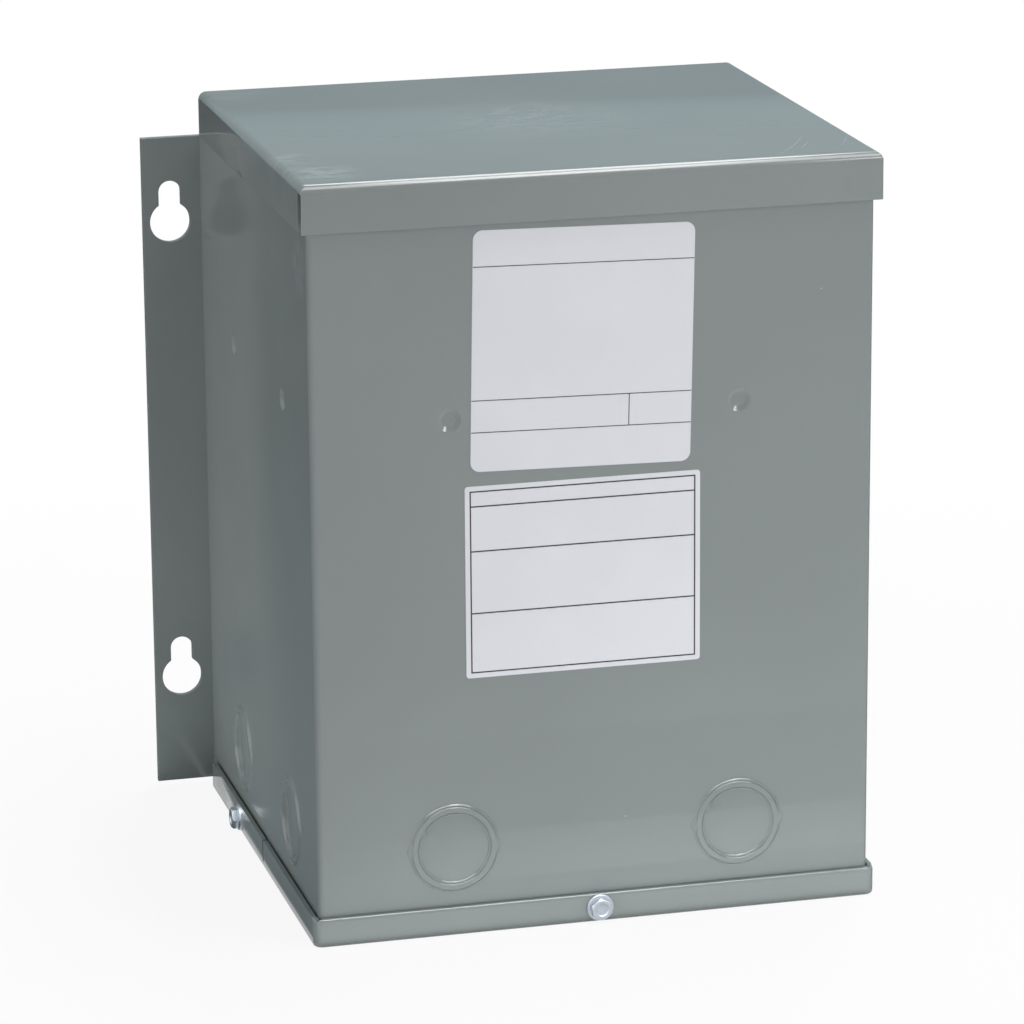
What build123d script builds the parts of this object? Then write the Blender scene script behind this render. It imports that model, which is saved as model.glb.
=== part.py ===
from build123d import *
import os

# Small potted transformer in a rainproof sheet steel case that hangs on a wall by four keyholes.
# Lengths are in millimetres. The origin is at the middle of the base, +Z is up and the front faces -Y.

# Overall sizes of the case
case_width = 178.0
case_depth = 165.5
overall_height = 240.2

# Wrapper: one sheet bent round the front and both sides
case_sheet = 1.5
case_bend = 2.0

# Top cover: a shallow lid folded down over the wrapper
lid_sheet = 1.2
lid_bend = 2.4
lid_lip = 14.9
lid_clearance = 0.8
lid_seat = 0.3
lid_setback = 1.5
lid_corner_seam = 4.4

# Bottom pan: a tray screwed on round the foot of the wrapper
pan_sheet = 1.5
pan_bend = 1.9
pan_corner = 3.0
pan_lip = 9.2
pan_clearance = 0.5
pan_tail_clearance = 1.0
pan_notch = 1.3
pan_notch_setback = 76.0
corner_nick_width = 1.9
corner_nick_depth = 0.9

# Screws that hold the pan
screw_height = 4.8
side_screw_setback = 113.0
pan_screw_radius = 2.3
case_screw_radius = 1.9

# Back plate: a hat section with a recessed web and a mounting flange on each side
back_sheet = 2.0
back_bend = 2.6
back_clearance = 0.6
web_recess = 11.0
flange_reach = 19.4
flange_bottom = 1.9
flange_drop = 1.7
flange_corner = 1.4
wall_relief = 2.0

# Keyholes in the flanges
keyhole_radius = 6.75
keyhole_slot = 7.4
keyhole_run = 10.1
keyhole_low_margin = 36.7
keyhole_high_margin = 28.4
keyhole_reach_share = 0.531

# Knockouts: a ring pushed a little out of the sheet round a disc, each still held by its ties
knockout_radius = 14.1
knockout_disc_radius = 11.1
knockout_height = 28.0
knockout_gap = 0.12
ring_rise = 0.45
tie_width = 4.2
tie_reach = 0.9
ring_tie_angles = (0, 180)
disc_tie_angles = (150,)

# Dimples pressed into the sheet above the knockouts
dimple_height = 164.9
dimple_radius = 3.7
dimple_floor_radius = 2.2
dimple_depth = 0.85

# Pairs of knockouts and dimples on the front and on each side
front_spread = 91.6
side_spread = 74.6

# Potted core: core and coil cast in compound, above the wiring space
core_bottom = 62.0
core_headroom = 6.0
core_corner = 2.0

# Places worked out from the sizes above
pan_step = pan_clearance + pan_sheet
lid_step = lid_clearance + lid_sheet
front_step = max(pan_step, lid_step)
overall_depth = front_step + case_depth + back_sheet
rear_y = overall_depth / 2
flange_y = rear_y - back_sheet
front_y = flange_y - case_depth
web_rear_y = rear_y - web_recess
web_y = web_rear_y - back_sheet
side_y = (front_y + web_y) / 2
lid_underside = overall_height - lid_sheet
lid_edge = overall_height - lid_lip
flange_top = lid_edge - flange_drop
wall_top = lid_underside - lid_seat

front_plane = Plane(origin=(0, front_y, 0), x_dir=(1, 0, 0), z_dir=(0, -1, 0))
left_plane = Plane(origin=(-case_width / 2, side_y, 0), x_dir=(0, -1, 0), z_dir=(-1, 0, 0))
right_plane = Plane(origin=(case_width / 2, side_y, 0), x_dir=(0, 1, 0), z_dir=(1, 0, 0))
flange_plane = Plane(origin=(0, flange_y, 0), x_dir=(1, 0, 0), z_dir=(0, -1, 0))

# Where each knockout, and the dimple above it, stands on its wall
sites = {
    "front_left": (front_plane, -front_spread / 2),
    "front_right": (front_plane, front_spread / 2),
    "left_rear": (left_plane, -side_spread / 2),
    "left_front": (left_plane, side_spread / 2),
    "right_front": (right_plane, -side_spread / 2),
    "right_rear": (right_plane, side_spread / 2),
}

# Where each screw goes through the pan's lip into the wrapper
side_screw_x = side_screw_setback + front_y - side_y
screw_sites = (
    (front_plane, 0),
    (left_plane, -side_screw_x),
    (right_plane, side_screw_x),
)


def slug_outline(plane, x, radius, tie_angles, grow):
    """Round outline of a knockout with a pointed ear at each tie."""
    with BuildSketch(plane) as outline:
        with Locations((x, knockout_height)):
            Circle(radius + grow)
            for angle in tie_angles:
                with PolarLocations(radius + grow, 1, start_angle=angle):
                    Polygon((-tie_reach, -tie_width / 2), (tie_reach, 0), (-tie_reach, tie_width / 2), align=None)
    return outline.sketch


def dimple_section(plane, x):
    """Half section of a pressed dimple."""
    middle = plane.from_local_coords((x, dimple_height, 0))
    with BuildSketch(Plane(origin=middle, x_dir=plane.x_dir, z_dir=-plane.y_dir)) as section:
        Polygon(
            (0, 0),
            (dimple_radius, 0),
            (dimple_floor_radius, -dimple_depth),
            (0, -dimple_depth),
            align=None,
        )
    return section.sketch


def dimple_axis(plane, x):
    """Line through the middle of a dimple, square to its wall."""
    return Axis(plane.from_local_coords((x, dimple_height, 0)), plane.z_dir)


def screw_hole(plane, x, radius):
    """Round outline of a screw hole in a wall."""
    with BuildSketch(plane) as outline:
        with Locations((x, screw_height)):
            Circle(radius)
    return outline.sketch


def finish(piece, name):
    """Label a finished piece and write it out."""
    piece.part.label = name
    export_step(piece.part, f"parts/{name}.step")


os.makedirs("parts", exist_ok=True)

# Wrapper, with its knockout holes, dimples and pilot holes
knockout_holes = [slug_outline(*site, knockout_radius, ring_tie_angles, 0) for site in sites.values()]
pilot_holes = [screw_hole(*site, case_screw_radius) for site in screw_sites]
lid_rear_y = web_rear_y - lid_setback

with BuildPart() as case_wrap:
    with BuildSketch(Plane.XY.offset(pan_sheet)) as wrap_profile:
        with Locations((0, front_y + case_depth / 2)):
            Rectangle(case_width, case_depth)
        fillet(wrap_profile.vertices().group_by(Axis.Y)[0], case_bend)
        with BuildSketch(mode=Mode.SUBTRACT) as wrap_inside:
            with Locations((0, front_y + case_depth / 2 + case_sheet)):
                Rectangle(case_width - 2 * case_sheet, case_depth)
            fillet(wrap_inside.vertices().group_by(Axis.Y)[0], case_bend - case_sheet)
    extrude(amount=wall_top - pan_sheet)
    with BuildSketch(Plane.YZ) as rear_cut:
        with Locations((lid_rear_y + case_depth / 2, flange_top + wall_top / 2)):
            Rectangle(case_depth, wall_top)
        fillet(rear_cut.vertices().group_by(Axis.Y)[0].group_by(Axis.X)[0], wall_relief)
    extrude(amount=case_width, both=True, mode=Mode.SUBTRACT)
    for hole in knockout_holes + pilot_holes:
        extrude(hole, amount=-case_sheet, mode=Mode.SUBTRACT)
    for site in sites.values():
        revolve(dimple_section(*site), dimple_axis(*site), mode=Mode.SUBTRACT)
finish(case_wrap, "case_wrap")

# Knockout rings and discs
for name, site in sites.items():
    ring_outside = slug_outline(*site, knockout_radius, ring_tie_angles, -knockout_gap)
    ring_inside = slug_outline(*site, knockout_disc_radius, disc_tie_angles, knockout_gap)
    disc_outside = slug_outline(*site, knockout_disc_radius, disc_tie_angles, 0)
    with BuildPart() as ring:
        extrude(ring_outside - ring_inside, amount=-case_sheet)
        extrude(ring_outside - ring_inside, amount=ring_rise)
    finish(ring, f"{name}_knockout_ring")
    with BuildPart() as disc:
        extrude(disc_outside, amount=-case_sheet)
    finish(disc, f"{name}_knockout_disc")

# Back plate: web, returns inside the walls, and flanges with two keyholes each
return_x = case_width / 2 - case_sheet - back_clearance
flange_x = case_width / 2 + flange_reach
keyhole_x = case_width / 2 + flange_reach * keyhole_reach_share
keyhole_low_z = flange_bottom + keyhole_low_margin
keyhole_pitch_z = flange_top - keyhole_high_margin - keyhole_low_z
inner_bend = back_bend - back_sheet

with BuildPart() as back_plate:
    with BuildSketch(Plane.XY.offset(flange_bottom)) as hat_section:
        with Locations((0, (web_y + rear_y) / 2)):
            Rectangle(2 * return_x, rear_y - web_y)
        fillet(hat_section.vertices().group_by(Axis.Y)[0], back_bend)
        with Locations((0, rear_y - back_sheet / 2)):
            Rectangle(2 * flange_x, back_sheet)
        corners = hat_section.vertices().filter_by_position(Axis.Y, flange_y, flange_y)
        fillet(corners.sort_by(Axis.X)[1:-1], inner_bend)
        with BuildSketch(mode=Mode.SUBTRACT) as hat_hollow:
            with Locations((0, (web_rear_y + rear_y) / 2)):
                Rectangle(2 * (return_x - back_sheet), rear_y - web_rear_y)
            fillet(hat_hollow.vertices().group_by(Axis.Y)[0], inner_bend)
        mouth = hat_section.vertices().filter_by_position(Axis.Y, rear_y, rear_y)
        fillet(mouth.sort_by(Axis.X)[1:-1], back_bend)
    extrude(amount=flange_top - flange_bottom)
    fillet(
        back_plate.edges().filter_by(Axis.Y).filter_by_position(Axis.X, -flange_x, -flange_x)
        + back_plate.edges().filter_by(Axis.Y).filter_by_position(Axis.X, flange_x, flange_x),
        flange_corner,
    )
    with BuildSketch(Plane.XY.offset(flange_top)):
        with Locations((0, (web_y + web_rear_y) / 2)):
            Rectangle(2 * return_x, back_sheet)
    extrude(amount=wall_top - flange_top)
    with BuildSketch(flange_plane):
        with Locations((0, keyhole_low_z + keyhole_pitch_z / 2)):
            with GridLocations(2 * keyhole_x, keyhole_pitch_z, 2, 2):
                Circle(keyhole_radius)
                with Locations((0, keyhole_run / 2)):
                    SlotCenterToCenter(keyhole_run, keyhole_slot, rotation=90)
    extrude(amount=-back_sheet, mode=Mode.SUBTRACT)
finish(back_plate, "back_plate")

# Top cover
lid_front_y = front_y - lid_step
lid_depth = lid_rear_y - lid_front_y
lid_half_width = case_width / 2 + lid_step

with BuildPart() as top_cover:
    with BuildSketch(Plane.XY.offset(lid_edge)):
        with Locations((0, lid_front_y + lid_depth / 2)):
            Rectangle(2 * lid_half_width, lid_depth)
    extrude(amount=lid_lip)
    fillet(top_cover.faces().sort_by(Axis.Z)[-1].edges().sort_by(Axis.Y)[:-1], lid_bend)
    open_faces = [top_cover.faces().sort_by(Axis.Z)[0], top_cover.faces().sort_by(Axis.Y)[-1]]
    offset(amount=-lid_sheet, openings=open_faces)
    with BuildSketch(Plane.XY.offset(lid_edge)):
        with Locations((0, lid_front_y + lid_sheet + lid_corner_seam / 2)):
            with GridLocations(2 * lid_half_width, 0, 2, 1):
                Rectangle(2 * lid_step, lid_corner_seam)
    extrude(amount=lid_lip - lid_bend, mode=Mode.SUBTRACT)
finish(top_cover, "top_cover")

# Bottom pan, with a rear lip that stands behind the web, between the returns
pan_front_y = front_y - pan_step
pan_rear_y = web_rear_y + pan_tail_clearance + pan_sheet
pan_depth = pan_rear_y - pan_front_y
pan_half_width = case_width / 2 + pan_step
rear_lip_end = return_x - back_sheet - pan_clearance
side_lip_start = case_width / 2 + pan_clearance
lip_holes = [screw_hole(plane.offset(pan_step), x, pan_screw_radius) for plane, x in screw_sites]
corner_planes = [
    Plane(origin=(side * pan_half_width, pan_front_y, pan_lip), x_dir=(1, side, 0), z_dir=(side, -1, 0))
    for side in (-1, 1)
]

with BuildPart() as bottom_pan:
    with BuildSketch() as pan_outline:
        with Locations((0, pan_front_y + pan_depth / 2)):
            Rectangle(2 * pan_half_width, pan_depth)
        fillet(pan_outline.vertices().group_by(Axis.Y)[0], pan_corner)
    extrude(amount=pan_lip)
    fillet(bottom_pan.faces().sort_by(Axis.Z)[0].edges(), pan_bend)
    offset(amount=-pan_sheet, openings=bottom_pan.faces().sort_by(Axis.Z)[-1])
    with BuildSketch(Plane.XY.offset(pan_sheet)):
        with Locations((0, pan_rear_y)):
            with GridLocations(side_lip_start + rear_lip_end, 0, 2, 1):
                Rectangle(side_lip_start - rear_lip_end, 2 * (pan_bend + pan_sheet))
    extrude(amount=pan_lip, mode=Mode.SUBTRACT)
    with BuildSketch(Plane.XY.offset(pan_bend)):
        with Locations((0, front_y + pan_notch_setback)):
            with GridLocations(2 * pan_half_width, 0, 2, 1):
                Rectangle(2 * pan_step, pan_notch)
    extrude(amount=pan_lip, mode=Mode.SUBTRACT)
    for plane in corner_planes:
        with BuildSketch(plane):
            with BuildLine():
                Polyline(
                    (-corner_nick_width / 2, 0),
                    (0, -corner_nick_depth),
                    (corner_nick_width / 2, 0),
                    close=True,
                )
            make_face()
        extrude(amount=pan_corner, both=True, mode=Mode.SUBTRACT)
    for hole in lip_holes:
        extrude(hole, amount=-pan_step, mode=Mode.SUBTRACT)
finish(bottom_pan, "bottom_pan")

# Potted core, cast against the wrapper and the web
with BuildPart() as potted_core:
    with BuildSketch(Plane.XY.offset(core_bottom)) as core_outline:
        with Locations((0, (front_y + case_sheet + web_y) / 2)):
            Rectangle(case_width - 2 * case_sheet, web_y - front_y - case_sheet)
        fillet(core_outline.vertices().group_by(Axis.Y)[0], core_corner)
    extrude(amount=lid_underside - core_headroom - core_bottom)
finish(potted_core, "potted_core")
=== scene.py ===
import math

import bmesh
import bpy
from mathutils import Matrix, Vector


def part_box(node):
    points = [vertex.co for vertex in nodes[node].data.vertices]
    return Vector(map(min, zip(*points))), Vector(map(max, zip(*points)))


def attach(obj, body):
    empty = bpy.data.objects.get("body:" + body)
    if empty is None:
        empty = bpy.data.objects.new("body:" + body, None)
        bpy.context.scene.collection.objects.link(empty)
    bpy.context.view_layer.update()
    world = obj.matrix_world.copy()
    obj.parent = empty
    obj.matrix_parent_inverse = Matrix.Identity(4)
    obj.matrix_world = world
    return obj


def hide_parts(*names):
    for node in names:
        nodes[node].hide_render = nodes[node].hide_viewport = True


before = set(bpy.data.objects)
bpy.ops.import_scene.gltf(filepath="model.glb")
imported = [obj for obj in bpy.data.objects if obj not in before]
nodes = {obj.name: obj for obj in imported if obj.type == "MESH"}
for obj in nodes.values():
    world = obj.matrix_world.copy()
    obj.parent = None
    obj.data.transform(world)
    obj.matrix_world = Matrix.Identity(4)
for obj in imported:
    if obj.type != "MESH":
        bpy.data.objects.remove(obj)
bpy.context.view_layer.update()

# Sizes of the part are in millimetres and turned to metres where they are used. The studio is in metres.
MM = 0.001
# How near two places count as one, and how near two vertices are merged on fine work
TINY = 0.01 * MM
HAIR = 0.001 * MM
# How much of a face's normal lies along an axis if it faces that way, also for a flat beside a fine bend
FACING = 0.9
FACING_FLAT = 0.999
wrap_low, wrap_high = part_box("case_wrap")
pan_low, pan_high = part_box("bottom_pan")

# How a piece that is modelled lying down, with its face up, turns to face out of each wall
WALL_TURN = {"front": 0, "left": -math.pi / 2, "right": math.pi / 2}


# Small helpers for modelling

def let_go():
    """Leaves edit mode and deselects everything, so that an operator acts only on what comes next."""
    if bpy.context.object and bpy.context.object.mode == "EDIT":
        bpy.ops.object.mode_set(mode="OBJECT")
    bpy.ops.object.select_all(action="DESELECT")


def hold(piece):
    """Makes one piece the only selected and active one."""
    let_go()
    piece.select_set(True)
    bpy.context.view_layer.objects.active = piece


def settle(piece):
    """Puts a piece's place, turn and size into its mesh."""
    hold(piece)
    bpy.ops.object.transform_apply(location=True, rotation=True, scale=True)


def pick(kind, test):
    """In edit mode, selects the vertices, edges or faces that pass a test."""
    bpy.ops.mesh.select_mode(type=kind)
    bpy.ops.mesh.select_all(action="DESELECT")
    mesh = bmesh.from_edit_mesh(bpy.context.object.data)
    for item in {"VERT": mesh.verts, "EDGE": mesh.edges, "FACE": mesh.faces}[kind]:
        if test(item):
            item.select_set(True)
    bmesh.update_edit_mesh(bpy.context.object.data)


def apply_modifier(piece, kind, **settings):
    """Adds a modifier with its settings and applies it."""
    hold(piece)
    made = piece.modifiers.new(kind.title(), kind)
    for key, value in settings.items():
        setattr(made, key, value)
    bpy.ops.object.modifier_apply(modifier=made.name)


def cut_with(piece, tool, operation):
    """Cuts a piece with a tool and throws the tool away."""
    apply_modifier(piece, "BOOLEAN", object=tool, operation=operation, solver="EXACT")
    bpy.data.objects.remove(tool)


def join(pieces):
    """Joins pieces into the first one."""
    hold(pieces[0])
    for piece in pieces[1:]:
        piece.select_set(True)
    bpy.ops.object.join()
    return pieces[0]


def copy_of(piece, name):
    """A copy of a piece with its own mesh."""
    made = piece.copy()
    made.data = piece.data.copy()
    made.name = made.data.name = name
    bpy.context.scene.collection.objects.link(made)
    return made


def stand(piece, wall, place):
    """Turns a piece to face out of a wall, puts it in its place, and makes it ride on the case."""
    piece.rotation_euler = (math.pi / 2, 0, WALL_TURN[wall])
    piece.location = place
    settle(piece)
    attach(piece, "root")


def trace(points):
    """A line of edges through points, drawn by pulling one vertex along."""
    let_go()
    bpy.ops.mesh.primitive_plane_add(size=MM, location=points[0])
    piece = bpy.context.object
    settle(piece)
    bpy.ops.object.mode_set(mode="EDIT")
    pick("VERT", lambda v: True)
    bpy.ops.mesh.merge(type="CENTER")
    for here, there in zip(points, points[1:]):
        bpy.ops.mesh.extrude_vertices_move(TRANSFORM_OT_translate={"value": Vector(there) - Vector(here)})
    return piece


def block(low, high):
    """A plain block between two corners, to cut with or to fold sheet from."""
    let_go()
    bpy.ops.mesh.primitive_cube_add(size=1, location=(Vector(low) + Vector(high)) / 2)
    made = bpy.context.object
    made.scale = [abs(b - a) for a, b in zip(low, high)]
    settle(made)
    return made


def smooth(piece, angle):
    """Smooth shading, with creases where faces meet at more than an angle."""
    hold(piece)
    bpy.ops.object.shade_smooth_by_angle(angle=math.radians(angle))


# Small helpers for materials

def linear(code):
    """An sRGB hex colour as linear red, green, blue and alpha."""
    parts = [int(code[i:i + 2], 16) / 255 for i in (1, 3, 5)]
    return [p / 12.92 if p <= 0.04045 else ((p + 0.055) / 1.055) ** 2.4 for p in parts] + [1.0]


def new_material(name):
    """A material with its Principled shader."""
    material = bpy.data.materials.new(name)
    material.use_nodes = True
    return material, material.node_tree, material.node_tree.nodes["Principled BSDF"]


def add(tree, kind, feeds=None, **settings):
    """Adds a node with its settings. Each feed is a value, or a link given as (node, output)."""
    node = tree.nodes.new(kind)
    for key, value in settings.items():
        setattr(node, key, value)
    for socket, source in (feeds or {}).items():
        if isinstance(source, tuple) and isinstance(source[0], bpy.types.Node):
            tree.links.new(source[0].outputs[source[1]], node.inputs[socket])
        else:
            node.inputs[socket].default_value = source
    return node


# Sockets of a colour Mix node
MIX, LOW, HIGH, MIXED = 0, 6, 7, 2
# The part of a noise's range that gloss follows
NOISE_LOW, NOISE_HIGH = 0.3, 0.7


def spot(tree, place, middle, reach, strength):
    """A soft round patch, with its full strength in the middle and none at its reach."""
    away = add(tree, "ShaderNodeVectorMath", {0: (place, "Object"), 1: [m * MM for m in middle]},
               operation="DISTANCE")
    return add(tree, "ShaderNodeMapRange", {
        "Value": (away, "Value"), "From Min": 0.0, "From Max": reach * MM, "To Min": strength, "To Max": 0.0,
    }, interpolation_type="SMOOTHSTEP")


def clouded(name, dark, light, size, detail, rough, rise):
    """A material whose tone, gloss and fine relief drift together in clouds of one size."""
    material, tree, shader = new_material(name)
    place = add(tree, "ShaderNodeTexCoord")
    cloud = add(tree, "ShaderNodeTexNoise", {
        "Vector": (place, "Object"), "Scale": 1 / (size * MM), "Detail": detail,
    })
    colour = add(tree, "ShaderNodeMix", {MIX: (cloud, "Fac"), LOW: linear(dark), HIGH: linear(light)},
                 data_type="RGBA")
    tree.links.new(colour.outputs[MIXED], shader.inputs["Base Color"])
    gloss = add(tree, "ShaderNodeMapRange", {
        "Value": (cloud, "Fac"), "From Min": NOISE_LOW, "From Max": NOISE_HIGH,
        "To Min": rough[0], "To Max": rough[1],
    })
    tree.links.new(gloss.outputs[0], shader.inputs["Roughness"])
    height = add(tree, "ShaderNodeMath", {0: (cloud, "Fac"), 1: rise * MM}, operation="MULTIPLY")
    bump = add(tree, "ShaderNodeBump", {"Height": (height, 0), "Strength": 1.0, "Distance": 1.0})
    tree.links.new(bump.outputs[0], shader.inputs["Normal"])
    return material, shader


# Grey stoving enamel on sheet steel: sprayed and baked, so it is smooth and glossy with a slight orange peel,
# and a little cloudy in tone. It has specks of dust, most on what faces up, dull rubs from handling, and
# lighter patches on the lid's top that are painted highlight.
ENAMEL_DARK = "#7D8584"
ENAMEL_LIGHT = "#858D8C"
# The light tone of the rubs, also used for the painted highlight on the lid's top
ENAMEL_RUB_AND_HIGHLIGHT = "#B9C0C2"
ENAMEL_SPECK = "#B4B5AE"
ENAMEL_ROUGH = (0.12, 0.17)
CLOUD_SIZE = 70
PEEL_SIZE = 2.4
PEEL_HEIGHT = 0.004
EDGE_ROUND = 0.45
# Dust: how far apart specks may lie, their largest radius, the share of places that have one on walls and on
# what faces up, and how strong they are
SPECK_SPACING = 9
SPECK_RADIUS = 0.4
SPECK_ON_WALLS = 0.08
SPECK_ON_TOP = 0.55
SPECK_STRENGTH = 0.6
# Rubs and painted highlights: the size and direction of their strokes, how dull they are, and each one's
# middle, reach and strength. The third and the fifth are painted highlight, making the middle of the lid's
# top and its rear-left corner lighter; the others are rubs from handling.
STROKE_LENGTH = 9
STROKE_WIDTH = 4
STROKE_TURN = -0.6
PATCH_DULL = 0.12
RUBS_AND_HIGHLIGHTS = (
    ((-80, -66, 240.2), 17, 0.7),
    ((-86, -43, 240.2), 13, 0.5),
    ((0, 5, 240.2), 50, 0.3),
    ((-89, -70, 213), 12, 0.5),
    ((-80, 63, 240.2), 15, 0.45),
)
# Fine arcs left by a wipe of the lid: their middle, and each one's radius, place and reach
WIPE_MIDDLE = (-11.8, -19.2, 240.2)
WIPES = ((93.0, (67, -68, 240.2), 24), (96.2, (71, -68, 240.2), 7), (107.0, (85, -64, 240.2), 9))
WIPE_WIDTH = 0.14
WIPE_STRENGTH = 0.45
# Spot welds on the lid's front lip
WELDS = ((31.1, -84.75, 231.6), (78.3, -84.75, 231.2))
WELD_REACH = 3.2
WELD_DEPTH = 0.12


def stoving_enamel(name, edge_round):
    """The enamel, with edges that look rounded by a radius where one is given."""
    material, tree, shader = new_material(name)
    place = add(tree, "ShaderNodeTexCoord")
    surface = add(tree, "ShaderNodeNewGeometry")
    up = add(tree, "ShaderNodeSeparateXYZ", {0: (surface, "Normal")})

    cloud = add(tree, "ShaderNodeTexNoise", {
        "Vector": (place, "Object"), "Scale": 1 / (CLOUD_SIZE * MM), "Detail": 3.0,
    })
    colour = add(tree, "ShaderNodeMix", {
        MIX: (cloud, "Fac"), LOW: linear(ENAMEL_DARK), HIGH: linear(ENAMEL_LIGHT),
    }, data_type="RGBA")

    # Rubs and painted highlight: fine strokes, each set in a soft round patch; two patches on the lid's top
    # are painted highlight
    stretch = add(tree, "ShaderNodeMapping", {
        "Vector": (place, "Object"),
        "Rotation": (0.0, 0.0, STROKE_TURN),
        "Scale": (1 / (STROKE_LENGTH * MM), 1 / (STROKE_WIDTH * MM), 1 / (STROKE_LENGTH * MM)),
    })
    stroke = add(tree, "ShaderNodeTexNoise", {
        "Vector": (stretch, 0), "Scale": 1.0, "Detail": 4.0, "Roughness": 0.65,
    })
    stroke = add(tree, "ShaderNodeMapRange", {"Value": (stroke, "Fac"), "From Min": 0.4, "From Max": 0.75})
    patches = None
    for middle, reach, strength in RUBS_AND_HIGHLIGHTS:
        patch = spot(tree, place, middle, reach, strength)
        patches = patch if patches is None else add(
            tree, "ShaderNodeMath", {0: (patches, 0), 1: (patch, 0)}, operation="MAXIMUM")
    rub_and_highlight = add(tree, "ShaderNodeMath", {0: (stroke, 0), 1: (patches, 0)}, operation="MULTIPLY")
    round_wipe = add(tree, "ShaderNodeVectorMath", {0: (place, "Object"), 1: [m * MM for m in WIPE_MIDDLE]},
                     operation="DISTANCE")
    for radius, middle, reach in WIPES:
        line = add(tree, "ShaderNodeMath", {0: (round_wipe, "Value"), 1: radius * MM, 2: WIPE_WIDTH * MM},
                   operation="COMPARE")
        patch = spot(tree, place, middle, reach, WIPE_STRENGTH)
        line = add(tree, "ShaderNodeMath", {0: (line, 0), 1: (patch, 0)}, operation="MULTIPLY")
        rub_and_highlight = add(tree, "ShaderNodeMath", {0: (rub_and_highlight, 0), 1: (line, 0)}, operation="MAXIMUM")
    colour = add(tree, "ShaderNodeMix", {MIX: (rub_and_highlight, 0), LOW: (colour, MIXED), HIGH: linear(ENAMEL_RUB_AND_HIGHLIGHT)},
                 data_type="RGBA")

    # Specks of dust: small dots, one in some of the cells, most of them on what faces up
    cells = add(tree, "ShaderNodeTexVoronoi", {
        "Vector": (place, "Object"), "Scale": 1 / (SPECK_SPACING * MM),
    })
    chance = add(tree, "ShaderNodeSeparateColor", {0: (cells, "Color")})
    facing = add(tree, "ShaderNodeMapRange", {
        "Value": (up, "Z"), "From Min": 0.2, "From Max": 0.9,
        "To Min": SPECK_ON_WALLS, "To Max": SPECK_ON_TOP,
    })
    lies = add(tree, "ShaderNodeMath", {0: (chance, 0), 1: (facing, 0)}, operation="LESS_THAN")
    size = add(tree, "ShaderNodeMath", {0: (chance, 1), 1: SPECK_RADIUS / SPECK_SPACING},
               operation="MULTIPLY")
    dot = add(tree, "ShaderNodeMath", {0: (cells, "Distance"), 1: (size, 0)}, operation="LESS_THAN")
    speck = add(tree, "ShaderNodeMath", {0: (lies, 0), 1: (dot, 0)}, operation="MULTIPLY")
    speck = add(tree, "ShaderNodeMath", {0: (speck, 0), 1: SPECK_STRENGTH}, operation="MULTIPLY")
    colour = add(tree, "ShaderNodeMix", {MIX: (speck, 0), LOW: (colour, MIXED), HIGH: linear(ENAMEL_SPECK)},
                 data_type="RGBA")
    tree.links.new(colour.outputs[MIXED], shader.inputs["Base Color"])

    # Gloss: a little uneven, and duller in the rubs and in the painted highlight patches
    gloss = add(tree, "ShaderNodeMapRange", {
        "Value": (cloud, "Fac"), "From Min": NOISE_LOW, "From Max": NOISE_HIGH,
        "To Min": ENAMEL_ROUGH[0], "To Max": ENAMEL_ROUGH[1],
    })
    dull = add(tree, "ShaderNodeMath", {0: (rub_and_highlight, 0), 1: PATCH_DULL, 2: (gloss, 0)}, operation="MULTIPLY_ADD")
    tree.links.new(dull.outputs[0], shader.inputs["Roughness"])

    # Orange peel, and the shallow dents of two spot welds on the lid's front lip
    peel = add(tree, "ShaderNodeTexNoise", {
        "Vector": (place, "Object"), "Scale": 1 / (PEEL_SIZE * MM), "Detail": 1.0,
    })
    height = add(tree, "ShaderNodeMath", {0: (peel, "Fac"), 1: PEEL_HEIGHT * MM}, operation="MULTIPLY")
    for middle in WELDS:
        dent = spot(tree, place, middle, WELD_REACH, -WELD_DEPTH * MM)
        height = add(tree, "ShaderNodeMath", {0: (height, 0), 1: (dent, 0)}, operation="ADD")
    bump = add(tree, "ShaderNodeBump", {"Height": (height, 0), "Strength": 1.0, "Distance": 1.0})
    if edge_round:
        edge = add(tree, "ShaderNodeBevel", {"Radius": edge_round * MM}, samples=6)
        tree.links.new(edge.outputs[0], bump.inputs["Normal"])
    tree.links.new(bump.outputs[0], shader.inputs["Normal"])
    shader.inputs["IOR"].default_value = 1.5
    return material


enamel = stoving_enamel("grey_stoving_enamel", 0)
edge_enamel = stoving_enamel("grey_stoving_enamel_on_sheared_edges", EDGE_ROUND)

# Bright zinc plate with a clear chromate dip: pale bluish metal, a little clouded by handling.
zinc, shader = clouded("bright_zinc_plate", dark="#A8B1BA", light="#CAD1D8", size=1.6, detail=4.0,
                       rough=(0.5, 0.38), rise=0.01)
shader.inputs["Metallic"].default_value = 1.0

# White polyester label film under a clear overlay: smooth, faintly cool, with a soft sheen.
film, shader = clouded("white_polyester_film", dark="#D5D7DD", light="#DCDEE4", size=18, detail=3.0,
                       rough=(0.36, 0.44), rise=0.03)
shader.inputs["IOR"].default_value = 1.57

# Screen printing ink: a thin flat black layer whose density varies a little.
ink, _ = clouded("black_printing_ink", dark="#232326", light="#3A3A3E", size=1.2, detail=2.0,
                 rough=(0.45, 0.45), rise=0)

# Potting compound: asphalt filled with sand, cast hot, so it is dull and grainy.
compound, _ = clouded("sand_filled_potting_compound", dark="#1B1B1D", light="#2D2C2B", size=1.5,
                      detail=4.0, rough=(0.8, 0.8), rise=0.25)

for name, node in nodes.items():
    node.data.materials.clear()
    node.data.materials.append({"potted_core": compound, "back_plate": edge_enamel}.get(name, enamel))

# Knockouts: the ring stands a little proud, with soft shoulders, and the enamel bridges the sheared gaps
RING_OUTSIDE = 14.05
RING_INSIDE = 11.17
RING_RISE = 0.56
RING_ROUND = 0.05
RING_SINK = 0.06
# How far the bead's foot lies outside each gap
BEAD_FOOT = 0.35
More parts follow.
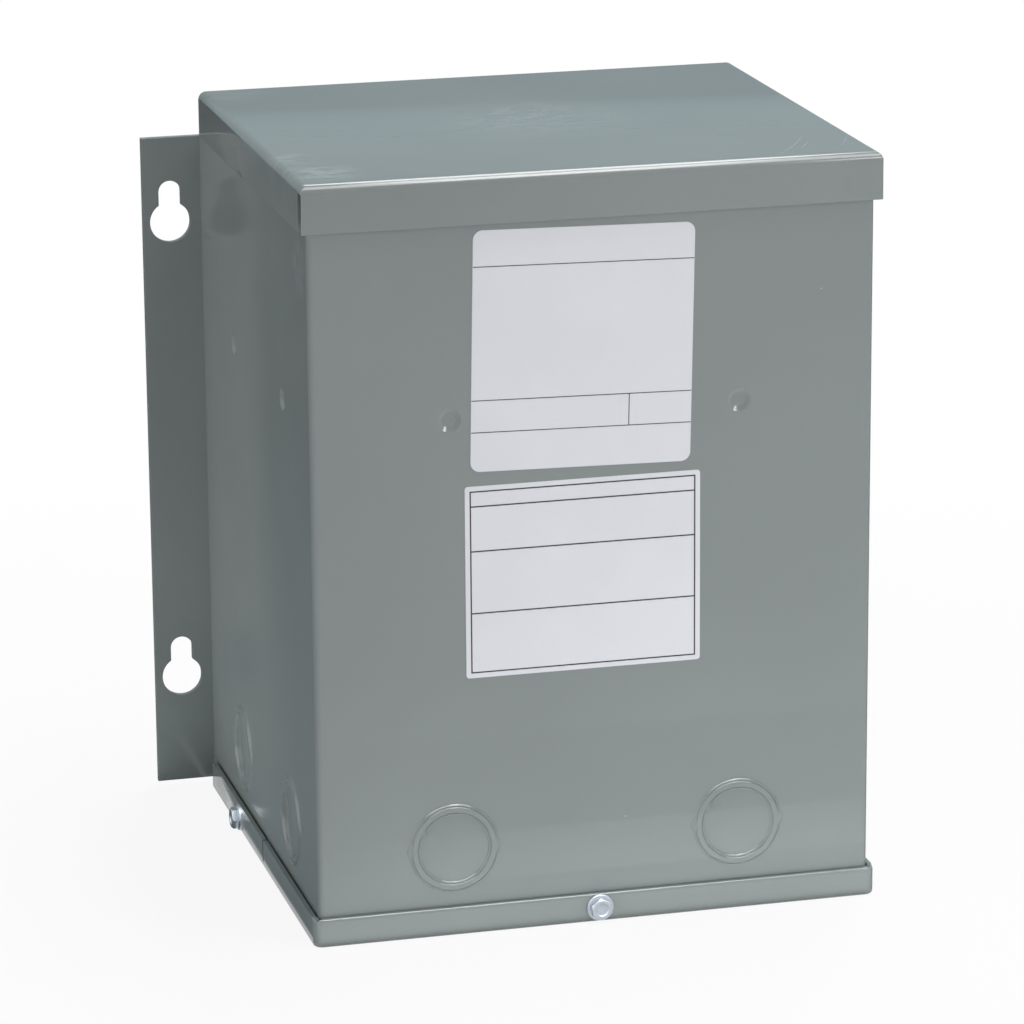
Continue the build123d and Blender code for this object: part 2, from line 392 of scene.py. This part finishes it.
# The bead of enamel at each gap, from its foot to the ring's shoulder: how far in, and how high
BEAD = ((0, 0), (0.34, 0.42), (0.5, 0.42), (0.68, 0.18), (0.84, 0.18), (1.15, RING_RISE))
BEAD_WIDTH = 0.84
DISC_SHOULDER = 0.15
SHEET = 1.5
STEPS = 120
# The ring's ties, each with a pointed ear, and the disc's tie, with a bulge: their angles, their reach, the
# share of it that each step away from the tie has, the share of the rise an ear loses, and a bulge's rise
RING_TIES = (0, 180)
DISC_TIE = 150
EAR_REACH = 0.9
EAR_SHARES = (1, 0.72, 0.35, 0.1)
EAR_DROP = 0.55
BULGE_SHARES = (1, 0.8, 0.35, 0.1)
BULGE_RISE = 0.1
ROUND_ANGLE = 40


def angle_of(vertex):
    """A vertex's direction from the middle, in degrees."""
    return math.degrees(math.atan2(vertex.co.y, vertex.co.x))


def apart(a, b):
    """Angle between two directions, in degrees."""
    return abs((a - b + 180) % 360 - 180)


def knockout_ring():
    """The ring's section spun round, with a pointed ear at each tie and a bulge where the disc is tied."""
    foot_out = RING_OUTSIDE + BEAD_FOOT
    foot_in = RING_INSIDE - BEAD_FOOT
    section = [
        (RING_INSIDE, -SHEET), (RING_OUTSIDE, -SHEET),
        (RING_OUTSIDE, -RING_SINK), (foot_out + RING_SINK, -RING_SINK),
        *[(foot_out - across, up) for across, up in BEAD],
        *[(foot_in + across, up) for across, up in reversed(BEAD)],
        (foot_in - RING_SINK, -RING_SINK), (RING_INSIDE, -RING_SINK),
    ]
    ring = trace([(x * MM, 0, z * MM) for x, z in section + section[:1]])
    bpy.ops.mesh.select_all(action="SELECT")
    bpy.ops.mesh.remove_doubles(threshold=HAIR)
    pick("VERT", lambda v: v.co.z > TINY)
    bpy.ops.mesh.bevel(affect="VERTICES", offset=RING_ROUND * MM, segments=3)
    bpy.ops.mesh.select_all(action="SELECT")
    bpy.ops.mesh.spin(steps=STEPS, angle=2 * math.pi, center=(0, 0, 0), axis=(0, 0, 1))
    bpy.ops.mesh.select_all(action="SELECT")
    bpy.ops.mesh.remove_doubles(threshold=HAIR)
    bpy.ops.mesh.select_all(action="SELECT")
    bpy.ops.mesh.normals_make_consistent(inside=False)
    step = 360 / STEPS
    middle = (foot_out + foot_in) / 2
    for tie in RING_TIES:
        way = math.cos(math.radians(tie))
        for count, share in enumerate(EAR_SHARES):
            pick("VERT", lambda v: abs(apart(angle_of(v), tie) - count * step) < step / 4
                 and v.co.z > -2 * RING_SINK * MM and v.co.xy.length > (foot_out - BEAD_WIDTH) * MM)
            bpy.ops.transform.translate(value=(way * share * EAR_REACH * MM, 0, 0))
            pick("VERT", lambda v: abs(apart(angle_of(v), tie) - count * step) < step / 4
                 and v.co.z > RING_RISE / 2 * MM and v.co.xy.length > middle * MM)
            bpy.ops.transform.translate(value=(0, 0, -share * RING_RISE * EAR_DROP * MM))
    for count, share in enumerate(BULGE_SHARES):
        pick("VERT", lambda v: abs(apart(angle_of(v), DISC_TIE) - count * step) < step / 4
             and v.co.z > -2 * RING_SINK * MM and v.co.xy.length < (foot_in + BEAD_WIDTH) * MM)
        inward = -share * EAR_REACH * MM
        bpy.ops.transform.translate(value=(
            inward * math.cos(math.radians(DISC_TIE)), inward * math.sin(math.radians(DISC_TIE)),
            share * BULGE_RISE * MM))
    smooth(ring, ROUND_ANGLE)
    ring.data.materials.append(enamel)
    return ring


def knockout_disc():
    """A disc with a rounded rim."""
    let_go()
    bpy.ops.mesh.primitive_cylinder_add(vertices=STEPS, radius=RING_INSIDE * MM, depth=SHEET * MM,
                                        location=(0, 0, -SHEET / 2 * MM))
    disc = bpy.context.object
    settle(disc)
    bpy.ops.object.mode_set(mode="EDIT")
    pick("EDGE", lambda e: all(v.co.z > -SHEET / 2 * MM for v in e.verts))
    bpy.ops.mesh.bevel(affect="EDGES", offset=DISC_SHOULDER * MM, segments=3)
    smooth(disc, ROUND_ANGLE)
    disc.data.materials.append(enamel)
    return disc


ring_model = knockout_ring()
disc_model = knockout_disc()
for name in [n for n in nodes if n.endswith("_knockout_ring")]:
    low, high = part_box(name)
    wall = name.split("_")[0]
    place = (low + high) / 2
    if wall == "front":
        place.y = wrap_low.y
    else:
        place.x = wrap_low.x if wall == "left" else wrap_high.x
    for model, node_name in ((ring_model, name), (disc_model, name.replace("ring", "disc"))):
        piece = copy_of(model, node_name.replace("knockout", "pressed"))
        stand(piece, wall, place)
        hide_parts(node_name)
for model in (ring_model, disc_model):
    bpy.data.objects.remove(model)

# Lid and pan: folded sheet whose sheared edges are rounded by the enamel
LID_SHEET = 1.2
LID_BEND = 2.7
LID_SEAM = 4.4
LID_EDGE_ROUND = 0.3
BEND_STEPS = 10
SHEARED_ANGLE = 50


def folded_lid():
    """The top and side lips bent from one strip, and the front lip bent down over the full width."""
    low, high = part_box("top_cover")
    bend = LID_BEND * MM
    bend_y = low.y + bend
    seam_y = low.y + (LID_SHEET + LID_SEAM) * MM
    lid = trace([
        (low.x, bend_y, low.z), (low.x, bend_y, high.z), (high.x, bend_y, high.z), (high.x, bend_y, low.z),
    ])
    pick("VERT", lambda v: v.co.z > high.z - TINY)
    bpy.ops.mesh.bevel(affect="VERTICES", offset=bend, segments=BEND_STEPS)
    pick("EDGE", lambda e: True)
    bpy.ops.mesh.extrude_edges_move(TRANSFORM_OT_translate={"value": (0, seam_y - bend_y, 0)})
    bpy.ops.mesh.extrude_edges_move(TRANSFORM_OT_translate={"value": (0, high.y - seam_y, 0)})
    pick("FACE", lambda f: abs(f.normal.x) > FACING_FLAT and f.calc_center_median().y < seam_y)
    bpy.ops.mesh.delete(type="FACE")
    pick("EDGE", lambda e: all(v.co.y < bend_y + TINY and v.co.z > high.z - TINY for v in e.verts))
    bpy.ops.mesh.spin(steps=BEND_STEPS, angle=-math.pi / 2, center=(0, bend_y, high.z - bend),
                      axis=(1, 0, 0))
    pick("EDGE", lambda e: all(v.co.y < low.y + TINY for v in e.verts))
    bpy.ops.mesh.extrude_edges_move(TRANSFORM_OT_translate={"value": (0, 0, low.z + bend - high.z)})
    for side in (-1, 1):
        for step in range(1, BEND_STEPS + 1):
            reach = bend * math.sin(step / BEND_STEPS * math.pi / 2)
            pick("VERT", lambda v: abs(v.co.y - bend_y) < TINY
                 and abs(side * v.co.x - high.x + bend - reach) < TINY and v.co.z > high.z - bend - TINY)
            bpy.ops.transform.translate(value=(0, -reach, 0))
            pick("VERT", lambda v: abs(v.co.y - bend_y + reach) < TINY
                 and abs(side * v.co.x - high.x + bend) < TINY)
            bpy.ops.transform.translate(value=(side * reach, 0, 0))
    bpy.ops.mesh.select_all(action="SELECT")
    bpy.ops.mesh.remove_doubles(threshold=TINY)
    bpy.ops.mesh.select_all(action="SELECT")
    bpy.ops.mesh.normals_make_consistent(inside=False)
    apply_modifier(lid, "SOLIDIFY", thickness=LID_SHEET * MM, offset=-1)
    apply_modifier(lid, "BEVEL", width=LID_EDGE_ROUND * MM, segments=3,
                   angle_limit=math.radians(SHEARED_ANGLE))
    return lid


PAN_SHEET = 1.9
PAN_CORNER = 3.0
PAN_FOOT = 1.0
PAN_ROLL = 1.2
PAN_EDGE_ROUND = 0.3
PAN_CLEARANCE = 0.6
PAN_TAIL_REACH = 3.4
PAN_NOTCH = 1.3
PAN_NOTCH_SETBACK = 76.0
NICK_WIDTH = 1.9
NICK_DEPTH = 0.9
REAR_LIP_END = 84.4
# Screws in the pan: where each goes through its wall, and how far its hexagon is turned, in degrees
SCREW_HEIGHT = 4.8
FRONT_SCREW_OFFSET = 0.4
SIDE_SCREW_SETBACK = 113.0
SCREW_HOLE = 2.3
side_screw_y = wrap_low.y + SIDE_SCREW_SETBACK * MM
SCREWS = {
    "front": ((FRONT_SCREW_OFFSET * MM, pan_low.y, SCREW_HEIGHT * MM), 8),
    "left": ((pan_low.x, side_screw_y, SCREW_HEIGHT * MM), 30),
    "right": ((pan_high.x, side_screw_y, SCREW_HEIGHT * MM), 17),
}


def folded_pan():
    """A tray with its front corners drawn round, slots and gaps inside its lips, notches and nicks."""
    low, high = pan_low, pan_high
    pan = block(low, high)
    bpy.ops.object.mode_set(mode="EDIT")
    pick("FACE", lambda f: f.normal.z > FACING)
    bpy.ops.mesh.delete(type="ONLY_FACE")
    pick("EDGE", lambda e: all(v.co.y < low.y + TINY for v in e.verts)
         and abs(e.verts[0].co.x - e.verts[1].co.x) < TINY)
    bpy.ops.mesh.bevel(affect="EDGES", offset=PAN_CORNER * MM, segments=BEND_STEPS)
    pick("EDGE", lambda e: all(v.co.z < low.z + TINY for v in e.verts))
    bpy.ops.mesh.bevel(affect="EDGES", offset=PAN_FOOT * MM, segments=4)
    apply_modifier(pan, "SOLIDIFY", thickness=PAN_SHEET * MM, offset=-1)
    hold(pan)
    bpy.ops.object.mode_set(mode="EDIT")
    corner = PAN_CORNER * MM
    pick("EDGE", lambda e: all(
        v.co.z > high.z - TINY and v.co.y < low.y + corner + TINY
        and math.hypot(max(abs(v.co.x) - high.x + corner, 0), low.y + corner - v.co.y) > corner - TINY
        for v in e.verts))
    bpy.ops.mesh.bevel(affect="EDGES", offset=PAN_ROLL * MM, segments=6)
    let_go()
    for side in (-1, 1):
        slot = block((side * REAR_LIP_END * MM, high.y - PAN_TAIL_REACH * MM, PAN_SHEET * MM),
                     (side * (wrap_high.x + PAN_CLEARANCE * MM), high.y + PAN_TAIL_REACH * MM, 2 * high.z))
        cut_with(pan, slot, "DIFFERENCE")
        gap = block((side * (wrap_high.x - PAN_CLEARANCE * MM), low.y + corner, PAN_SHEET * MM),
                    (side * (wrap_high.x + PAN_CLEARANCE * MM), high.y + PAN_TAIL_REACH * MM, 2 * high.z))
        cut_with(pan, gap, "DIFFERENCE")
    apply_modifier(pan, "BEVEL", width=PAN_EDGE_ROUND * MM, segments=3,
                   angle_limit=math.radians(SHEARED_ANGLE))
    notch_y = wrap_low.y + PAN_NOTCH_SETBACK * MM
    for side in (-1, 1):
        notch = block((side * (wrap_high.x - PAN_SHEET * MM), notch_y - PAN_NOTCH / 2 * MM, PAN_SHEET * MM),
                      (side * 2 * high.x, notch_y + PAN_NOTCH / 2 * MM, 2 * high.z))
        cut_with(pan, notch, "DIFFERENCE")
        let_go()
        bpy.ops.mesh.primitive_cylinder_add(
            vertices=4, radius=NICK_DEPTH * MM, depth=4 * PAN_CORNER * MM,
            rotation=(math.pi / 2, 0, side * math.pi / 4), location=(side * high.x, low.y, high.z))
        nick = bpy.context.object
        nick.scale = (NICK_WIDTH / 2 / NICK_DEPTH, 1, 1)
        settle(nick)
        cut_with(pan, nick, "DIFFERENCE")
    for wall, (place, _) in SCREWS.items():
        let_go()
        bpy.ops.mesh.primitive_cylinder_add(vertices=32, radius=SCREW_HOLE * MM, depth=3 * PAN_SHEET * MM,
                                            rotation=(math.pi / 2, 0, abs(WALL_TURN[wall])), location=place)
        cut_with(pan, bpy.context.object, "DIFFERENCE")
    return pan


for piece, name, node_name in (
    (folded_lid(), "folded_lid", "top_cover"),
    (folded_pan(), "folded_pan", "bottom_pan"),
):
    piece.name = piece.data.name = name
    smooth(piece, ROUND_ANGLE)
    piece.data.materials.append(enamel)
    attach(piece, "root")
    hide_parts(node_name)

# Hex washer head screws that hold the pan
WASHER_RADIUS = 4.3
WASHER_THICK = 0.85
WASHER_ROUND = 0.3
WASHER_SLOPE = 0.9
WASHER_CROWN = 0.15
HEX_FLATS = 6.35
HEX_TOP = 3.1
HEX_CHAMFER_RADIUS = 3.25
HEX_EDGE_ROUND = 0.1
# The cone that turns off the hexagon's corners: its height, how fast it widens, and how far in its top lies
CHAMFER_HEIGHT = 6
CHAMFER_SPREAD = 1.2
CHAMFER_INSET = 0.3
DISH_RADIUS = 2.35
DISH_DEPTH = 0.35
DISH_TAPER = 0.5
SHANK_RADIUS = 1.85
SHANK_LENGTH = 6.5
TIP_TAPER = 0.7
TIP_LENGTH = 1.0
SCREW_ANGLE = 32


def hex_screw():
    """A hexagon on a round flange, its corners turned off and its top dished, on a plain shank."""
    let_go()
    bpy.ops.mesh.primitive_cylinder_add(vertices=64, radius=WASHER_RADIUS * MM, depth=WASHER_THICK * MM,
                                        location=(0, 0, WASHER_THICK / 2 * MM))
    washer = bpy.context.object
    settle(washer)
    bpy.ops.object.mode_set(mode="EDIT")
    pick("FACE", lambda f: f.normal.z > FACING)
    bpy.ops.mesh.inset(thickness=WASHER_SLOPE * MM)
    bpy.ops.transform.translate(value=(0, 0, WASHER_CROWN * MM))
    pick("EDGE", lambda e: all(abs(v.co.xy.length - WASHER_RADIUS * MM) < TINY
                               and v.co.z > WASHER_THICK / 2 * MM for v in e.verts))
    bpy.ops.mesh.bevel(affect="EDGES", offset=WASHER_ROUND * MM, segments=3)
    let_go()
    bpy.ops.mesh.primitive_cylinder_add(vertices=6, radius=HEX_FLATS / 2 / math.cos(math.pi / 6) * MM,
                                        depth=HEX_TOP * MM, location=(0, 0, HEX_TOP / 2 * MM))
    head = bpy.context.object
    settle(head)
    let_go()
    bpy.ops.mesh.primitive_cone_add(
        vertices=96, radius1=(HEX_CHAMFER_RADIUS + CHAMFER_HEIGHT * CHAMFER_SPREAD) * MM,
        radius2=(HEX_CHAMFER_RADIUS - CHAMFER_INSET) * MM, depth=CHAMFER_HEIGHT * MM,
        location=(0, 0, (HEX_TOP - CHAMFER_HEIGHT / 2) * MM))
    cut_with(head, bpy.context.object, "INTERSECT")
    let_go()
    bpy.ops.mesh.primitive_cone_add(
        vertices=64, radius1=(DISH_RADIUS - DISH_TAPER) * MM, radius2=DISH_RADIUS * MM,
        depth=2 * DISH_DEPTH * MM, location=(0, 0, HEX_TOP * MM))
    cut_with(head, bpy.context.object, "DIFFERENCE")
    apply_modifier(head, "BEVEL", width=HEX_EDGE_ROUND * MM, segments=2, limit_method="ANGLE")
    let_go()
    bpy.ops.mesh.primitive_cylinder_add(vertices=32, radius=SHANK_RADIUS * MM, depth=SHANK_LENGTH * MM,
                                        location=(0, 0, -SHANK_LENGTH / 2 * MM))
    shank = bpy.context.object
    settle(shank)
    bpy.ops.object.mode_set(mode="EDIT")
    pick("FACE", lambda f: f.normal.z < -FACING)
    bpy.ops.mesh.inset(thickness=TIP_TAPER * MM)
    bpy.ops.transform.translate(value=(0, 0, -TIP_LENGTH * MM))
    screw = join([washer, head, shank])
    smooth(screw, SCREW_ANGLE)
    screw.data.materials.append(zinc)
    return screw


screw_model = hex_screw()
for wall, (place, turn) in SCREWS.items():
    piece = copy_of(screw_model, f"{wall}_pan_screw")
    piece.rotation_euler = (0, 0, math.radians(turn))
    settle(piece)
    stand(piece, wall, place)
bpy.data.objects.remove(screw_model)

# Stickers on the front: a rating plate and a plain framed one, both ruled and left blank
FILM_THICK = 0.12
PRINT_RISE = 0.01


def sheet_of_film(width, height, corner):
    """A thin sheet with rounded corners, lying face up."""
    let_go()
    bpy.ops.mesh.primitive_plane_add(size=MM)
    sheet = bpy.context.object
    sheet.scale = (width, height, 1)
    settle(sheet)
    bpy.ops.object.mode_set(mode="EDIT")
    pick("VERT", lambda v: True)
    bpy.ops.mesh.bevel(affect="VERTICES", offset=corner * MM, segments=8)
    apply_modifier(sheet, "SOLIDIFY", thickness=FILM_THICK * MM, offset=1)
    sheet.data.materials.append(film)
    return sheet


def rule(x0, y0, x1, y1):
    """A printed bar between two corners."""
    let_go()
    bpy.ops.mesh.primitive_plane_add(
        size=MM, location=((x0 + x1) / 2 * MM, (y0 + y1) / 2 * MM, FILM_THICK * MM))
    bar = bpy.context.object
    bar.scale = (abs(x1 - x0), abs(y1 - y0), 1)
    settle(bar)
    apply_modifier(bar, "SOLIDIFY", thickness=PRINT_RISE * MM, offset=1)
    bar.data.materials.append(ink)
    return bar


def stick(pieces, name, x, z, turn):
    """Joins a sticker and its print, turns it a little, and puts it on the front."""
    sticker = join(pieces)
    sticker.name = sticker.data.name = name
    sticker.rotation_euler = (0, 0, math.radians(turn))
    settle(sticker)
    stand(sticker, "front", (x * MM, wrap_low.y, z * MM))


PLATE_WIDTH = 69.6
PLATE_HEIGHT = 75.0
PLATE_CORNER = 3.0
RULE_WIDTH = 0.3
RULE_MARGIN = 0.1
# Where the rules lie, as shares of the height from the top, and the upright one, as a share of the width
PLATE_RULES = (0.15, 0.703, 0.836)
PLATE_UPRIGHT = 0.715
plate = [sheet_of_film(PLATE_WIDTH, PLATE_HEIGHT, PLATE_CORNER)]
rule_end = PLATE_WIDTH / 2 - RULE_MARGIN
heights = [PLATE_HEIGHT * (0.5 - share) for share in PLATE_RULES]
for y in heights:
    plate.append(rule(-rule_end, y - RULE_WIDTH / 2, rule_end, y + RULE_WIDTH / 2))
x = PLATE_WIDTH * (PLATE_UPRIGHT - 0.5)
plate.append(rule(x - RULE_WIDTH / 2, heights[1], x + RULE_WIDTH / 2, heights[2]))
stick(plate, "rating_plate", x=-3.9, z=185.0, turn=-1.2)

STICKER_WIDTH = 74.7
STICKER_HEIGHT = 61.0
STICKER_CORNER = 1.0
FRAME_MARGIN = 1.5
FRAME_WIDTH = 0.45
# Where the rules lie, as shares of the frame's height from the top
STICKER_RULES = (0.085, 0.33, 0.67)
blank = [sheet_of_film(STICKER_WIDTH, STICKER_HEIGHT, STICKER_CORNER)]
half_x = STICKER_WIDTH / 2 - FRAME_MARGIN
half_y = STICKER_HEIGHT / 2 - FRAME_MARGIN
for side in (-1, 1):
    blank.append(rule(-half_x, side * half_y, half_x, side * (half_y - FRAME_WIDTH)))
    blank.append(rule(side * half_x, -half_y + FRAME_WIDTH,
                      side * (half_x - FRAME_WIDTH), half_y - FRAME_WIDTH))
for share in STICKER_RULES:
    y = half_y - 2 * half_y * share
    blank.append(rule(-half_x + FRAME_WIDTH, y - FRAME_WIDTH / 2,
                      half_x - FRAME_WIDTH, y + FRAME_WIDTH / 2))
stick(blank, "framed_sticker", x=-4.0, z=113.2, turn=0)

# Floor, lights and camera
FLOOR_SIZE = 30
FLOOR_PAPER = "#E8E8E8"
# How white the floor looks beside the part, and between which distances that grows to full white
FLOOR_NEAR_WHITE = 0.9
FLOOR_NEAR = 0.15
FLOOR_FAR = 0.6
AMBIENT = 0.21
# Height of the cards that lie on the floor, and how far back their far tone is reached
CARD_RISE = 0.0005
CARD_FADE = 0.6

scene = bpy.context.scene
scene.view_settings.view_transform = "Standard"


def shown(tree):
    """One for rays from the camera and those that gloss or glass send on, and zero for the rest."""
    rays = add(tree, "ShaderNodeLightPath")
    seen = add(tree, "ShaderNodeMath", {0: (rays, "Is Camera Ray"), 1: (rays, "Is Glossy Ray")},
               operation="MAXIMUM")
    return add(tree, "ShaderNodeMath", {0: (seen, 0), 1: (rays, "Is Transmission Ray")},
               operation="MAXIMUM")


let_go()
bpy.ops.mesh.primitive_plane_add(size=FLOOR_SIZE)
floor = bpy.context.object
floor.name = "studio_floor"
material, tree, shader = new_material("white_paper_floor")
shader.inputs["Base Color"].default_value = linear(FLOOR_PAPER)
shader.inputs["Roughness"].default_value = 0.9
white = add(tree, "ShaderNodeEmission", {"Color": (1, 1, 1, 1), "Strength": 1.0})
place = add(tree, "ShaderNodeTexCoord")
away = add(tree, "ShaderNodeVectorMath", {0: (place, "Object")}, operation="LENGTH")
share = add(tree, "ShaderNodeMapRange", {
    "Value": (away, "Value"), "From Min": FLOOR_NEAR, "From Max": FLOOR_FAR,
    "To Min": FLOOR_NEAR_WHITE, "To Max": 1.0,
}, interpolation_type="SMOOTHSTEP")
part = add(tree, "ShaderNodeMath", {0: (shown(tree), 0), 1: (share, 0)}, operation="MULTIPLY")
both = add(tree, "ShaderNodeMixShader", {0: (part, 0), 1: (shader, 0), 2: (white, 0)})
tree.links.new(both.outputs[0], tree.nodes["Material Output"].inputs["Surface"])
floor.data.materials.append(material)

world = bpy.data.worlds.new("studio")
scene.world = world
world.use_nodes = True
tree = world.node_tree
soft = tree.nodes["Background"]
soft.inputs["Color"].default_value = (1, 1, 1, 1)
soft.inputs["Strength"].default_value = AMBIENT
white = add(tree, "ShaderNodeBackground", {"Color": (1, 1, 1, 1), "Strength": 1.0})
both = add(tree, "ShaderNodeMixShader", {0: (shown(tree), 0), 1: (soft, 0), 2: (white, 0)})
tree.links.new(both.outputs[0], tree.nodes["World Output"].inputs["Surface"])

# Grey cards that only the gloss sees, as a photographer sets them to keep shine off a side. Each goes from a
# near tone to a far one, away from the camera. A card with a height stands, and the others lie on the floor.
for name, near, far, x0, y0, x1, y1, height in (
    ("side_card", "#56636B", "#3C4144", -1.6, -0.09, -0.0925, 2.0, 0),
    ("right_card", "#60686C", "#60686C", 0.0925, -0.09, 1.6, 2.0, 0),
    ("rear_card", "#9CAEB4", "#9CAEB4", -1.6, 2.0, 2.6, 2.0, 1.3),
):
    material, tree, shader = new_material(name)
    place = add(tree, "ShaderNodeTexCoord")
    split = add(tree, "ShaderNodeSeparateXYZ", {0: (place, "Object")})
    share = add(tree, "ShaderNodeMapRange", {"Value": (split, "Y"), "From Min": 0.0, "From Max": CARD_FADE})
    tone = add(tree, "ShaderNodeMix", {MIX: (share, 0), LOW: linear(near), HIGH: linear(far)},
               data_type="RGBA")
    glow = add(tree, "ShaderNodeEmission", {"Color": (tone, MIXED), "Strength": 1.0})
    tree.links.new(glow.outputs[0], tree.nodes["Material Output"].inputs["Surface"])
    let_go()
    if height:
        bpy.ops.mesh.primitive_plane_add(size=1, rotation=(math.pi / 2, 0, 0),
                                         location=((x0 + x1) / 2, y0, height / 2))
        card = bpy.context.object
        card.scale = (x1 - x0, height, 1)
    else:
        bpy.ops.mesh.primitive_plane_add(size=1, location=((x0 + x1) / 2, (y0 + y1) / 2, CARD_RISE))
        card = bpy.context.object
        card.scale = (x1 - x0, y1 - y0, 1)
    settle(card)
    card.name = name
    card.data.materials.append(material)
    card.visible_camera = card.visible_diffuse = card.visible_shadow = card.visible_transmission = False

# Softboxes, sheets of light on the floor that stand for its bounce, and two lights that only the gloss sees,
# which draw the bright lines along bends, beads and dimples. The key isn't seen in gloss.
for name, place, aim, width, length, power, in_diffuse, in_gloss in (
    ("overhead_softbox", (0.3, -0.05, 1.45), (0.3, -0.05, 0), 0.4, 1.0, 10.0, True, True),
    ("rear_softbox", (0.42, 1.2, 1.32), (0, -0.085, 0.24), 0.9, 0.8, 10.0, True, True),
    ("key_softbox", (0.75, -1.2, 0.55), (0, -0.085, 0.15), 1.3, 1.0, 7.3, True, False),
    ("left_fill", (-1.7, -0.35, 0.3), (0, 0, 0.12), 1.8, 1.6, 13.0, True, True),
    ("front_bounce", (0.2, -0.29, 0.001), (0.2, -0.29, 1), 0.5, 0.36, 0.36, True, False),
    ("near_bounce", (0, -0.119, 0.001), (0, -0.119, 1), 0.2, 0.066, 0.05, True, False),
    ("left_bounce", (-0.165, 0.02, 0.001), (-0.165, 0.02, 1), 0.11, 0.12, 0.05, True, False),
    ("line_bank", (0, -0.42, 1.5), (0, -0.42, 0), 2.4, 0.75, 34.0, False, True),
    ("glint_box", (0.9, -1.0, 0.9), (0, -0.083, 0.165), 0.4, 0.3, 4.2, False, True),
):
    lamp = bpy.data.lights.new(name, "AREA")
    lamp.shape = "RECTANGLE"
    lamp.size = width
    lamp.size_y = length
    lamp.energy = power
    stand_in = bpy.data.objects.new(name, lamp)
    stand_in.location = place
    stand_in.rotation_euler = (Vector(aim) - Vector(place)).to_track_quat("-Z", "Y").to_euler()
    stand_in.visible_camera = False
    stand_in.visible_diffuse = in_diffuse
    stand_in.visible_glossy = in_gloss
    scene.collection.objects.link(stand_in)

# Camera at the photograph's place, with its long lens, solved from the corners and edges of the case
SENSOR_WIDTH = 36
LENS = 175.64
CAMERA_PLACE = (-392.7, -1505.16, 544.64)
CAMERA_FORWARD = (0.24015, 0.93278, -0.26881)
CAMERA_RIGHT = (0.96785, -0.25142, -0.00779)
camera = bpy.data.cameras.new("camera")
camera.sensor_width = SENSOR_WIDTH
camera.lens = LENS
viewer = bpy.data.objects.new("camera", camera)
forward = Vector(CAMERA_FORWARD).normalized()
right = Vector(CAMERA_RIGHT)
right = (right - forward * right.dot(forward)).normalized()
up = right.cross(forward)
turn = Matrix((right, up, -forward)).transposed().to_4x4()
viewer.matrix_world = Matrix.Translation(Vector(CAMERA_PLACE) * MM) @ turn
scene.collection.objects.link(viewer)
scene.camera = viewer
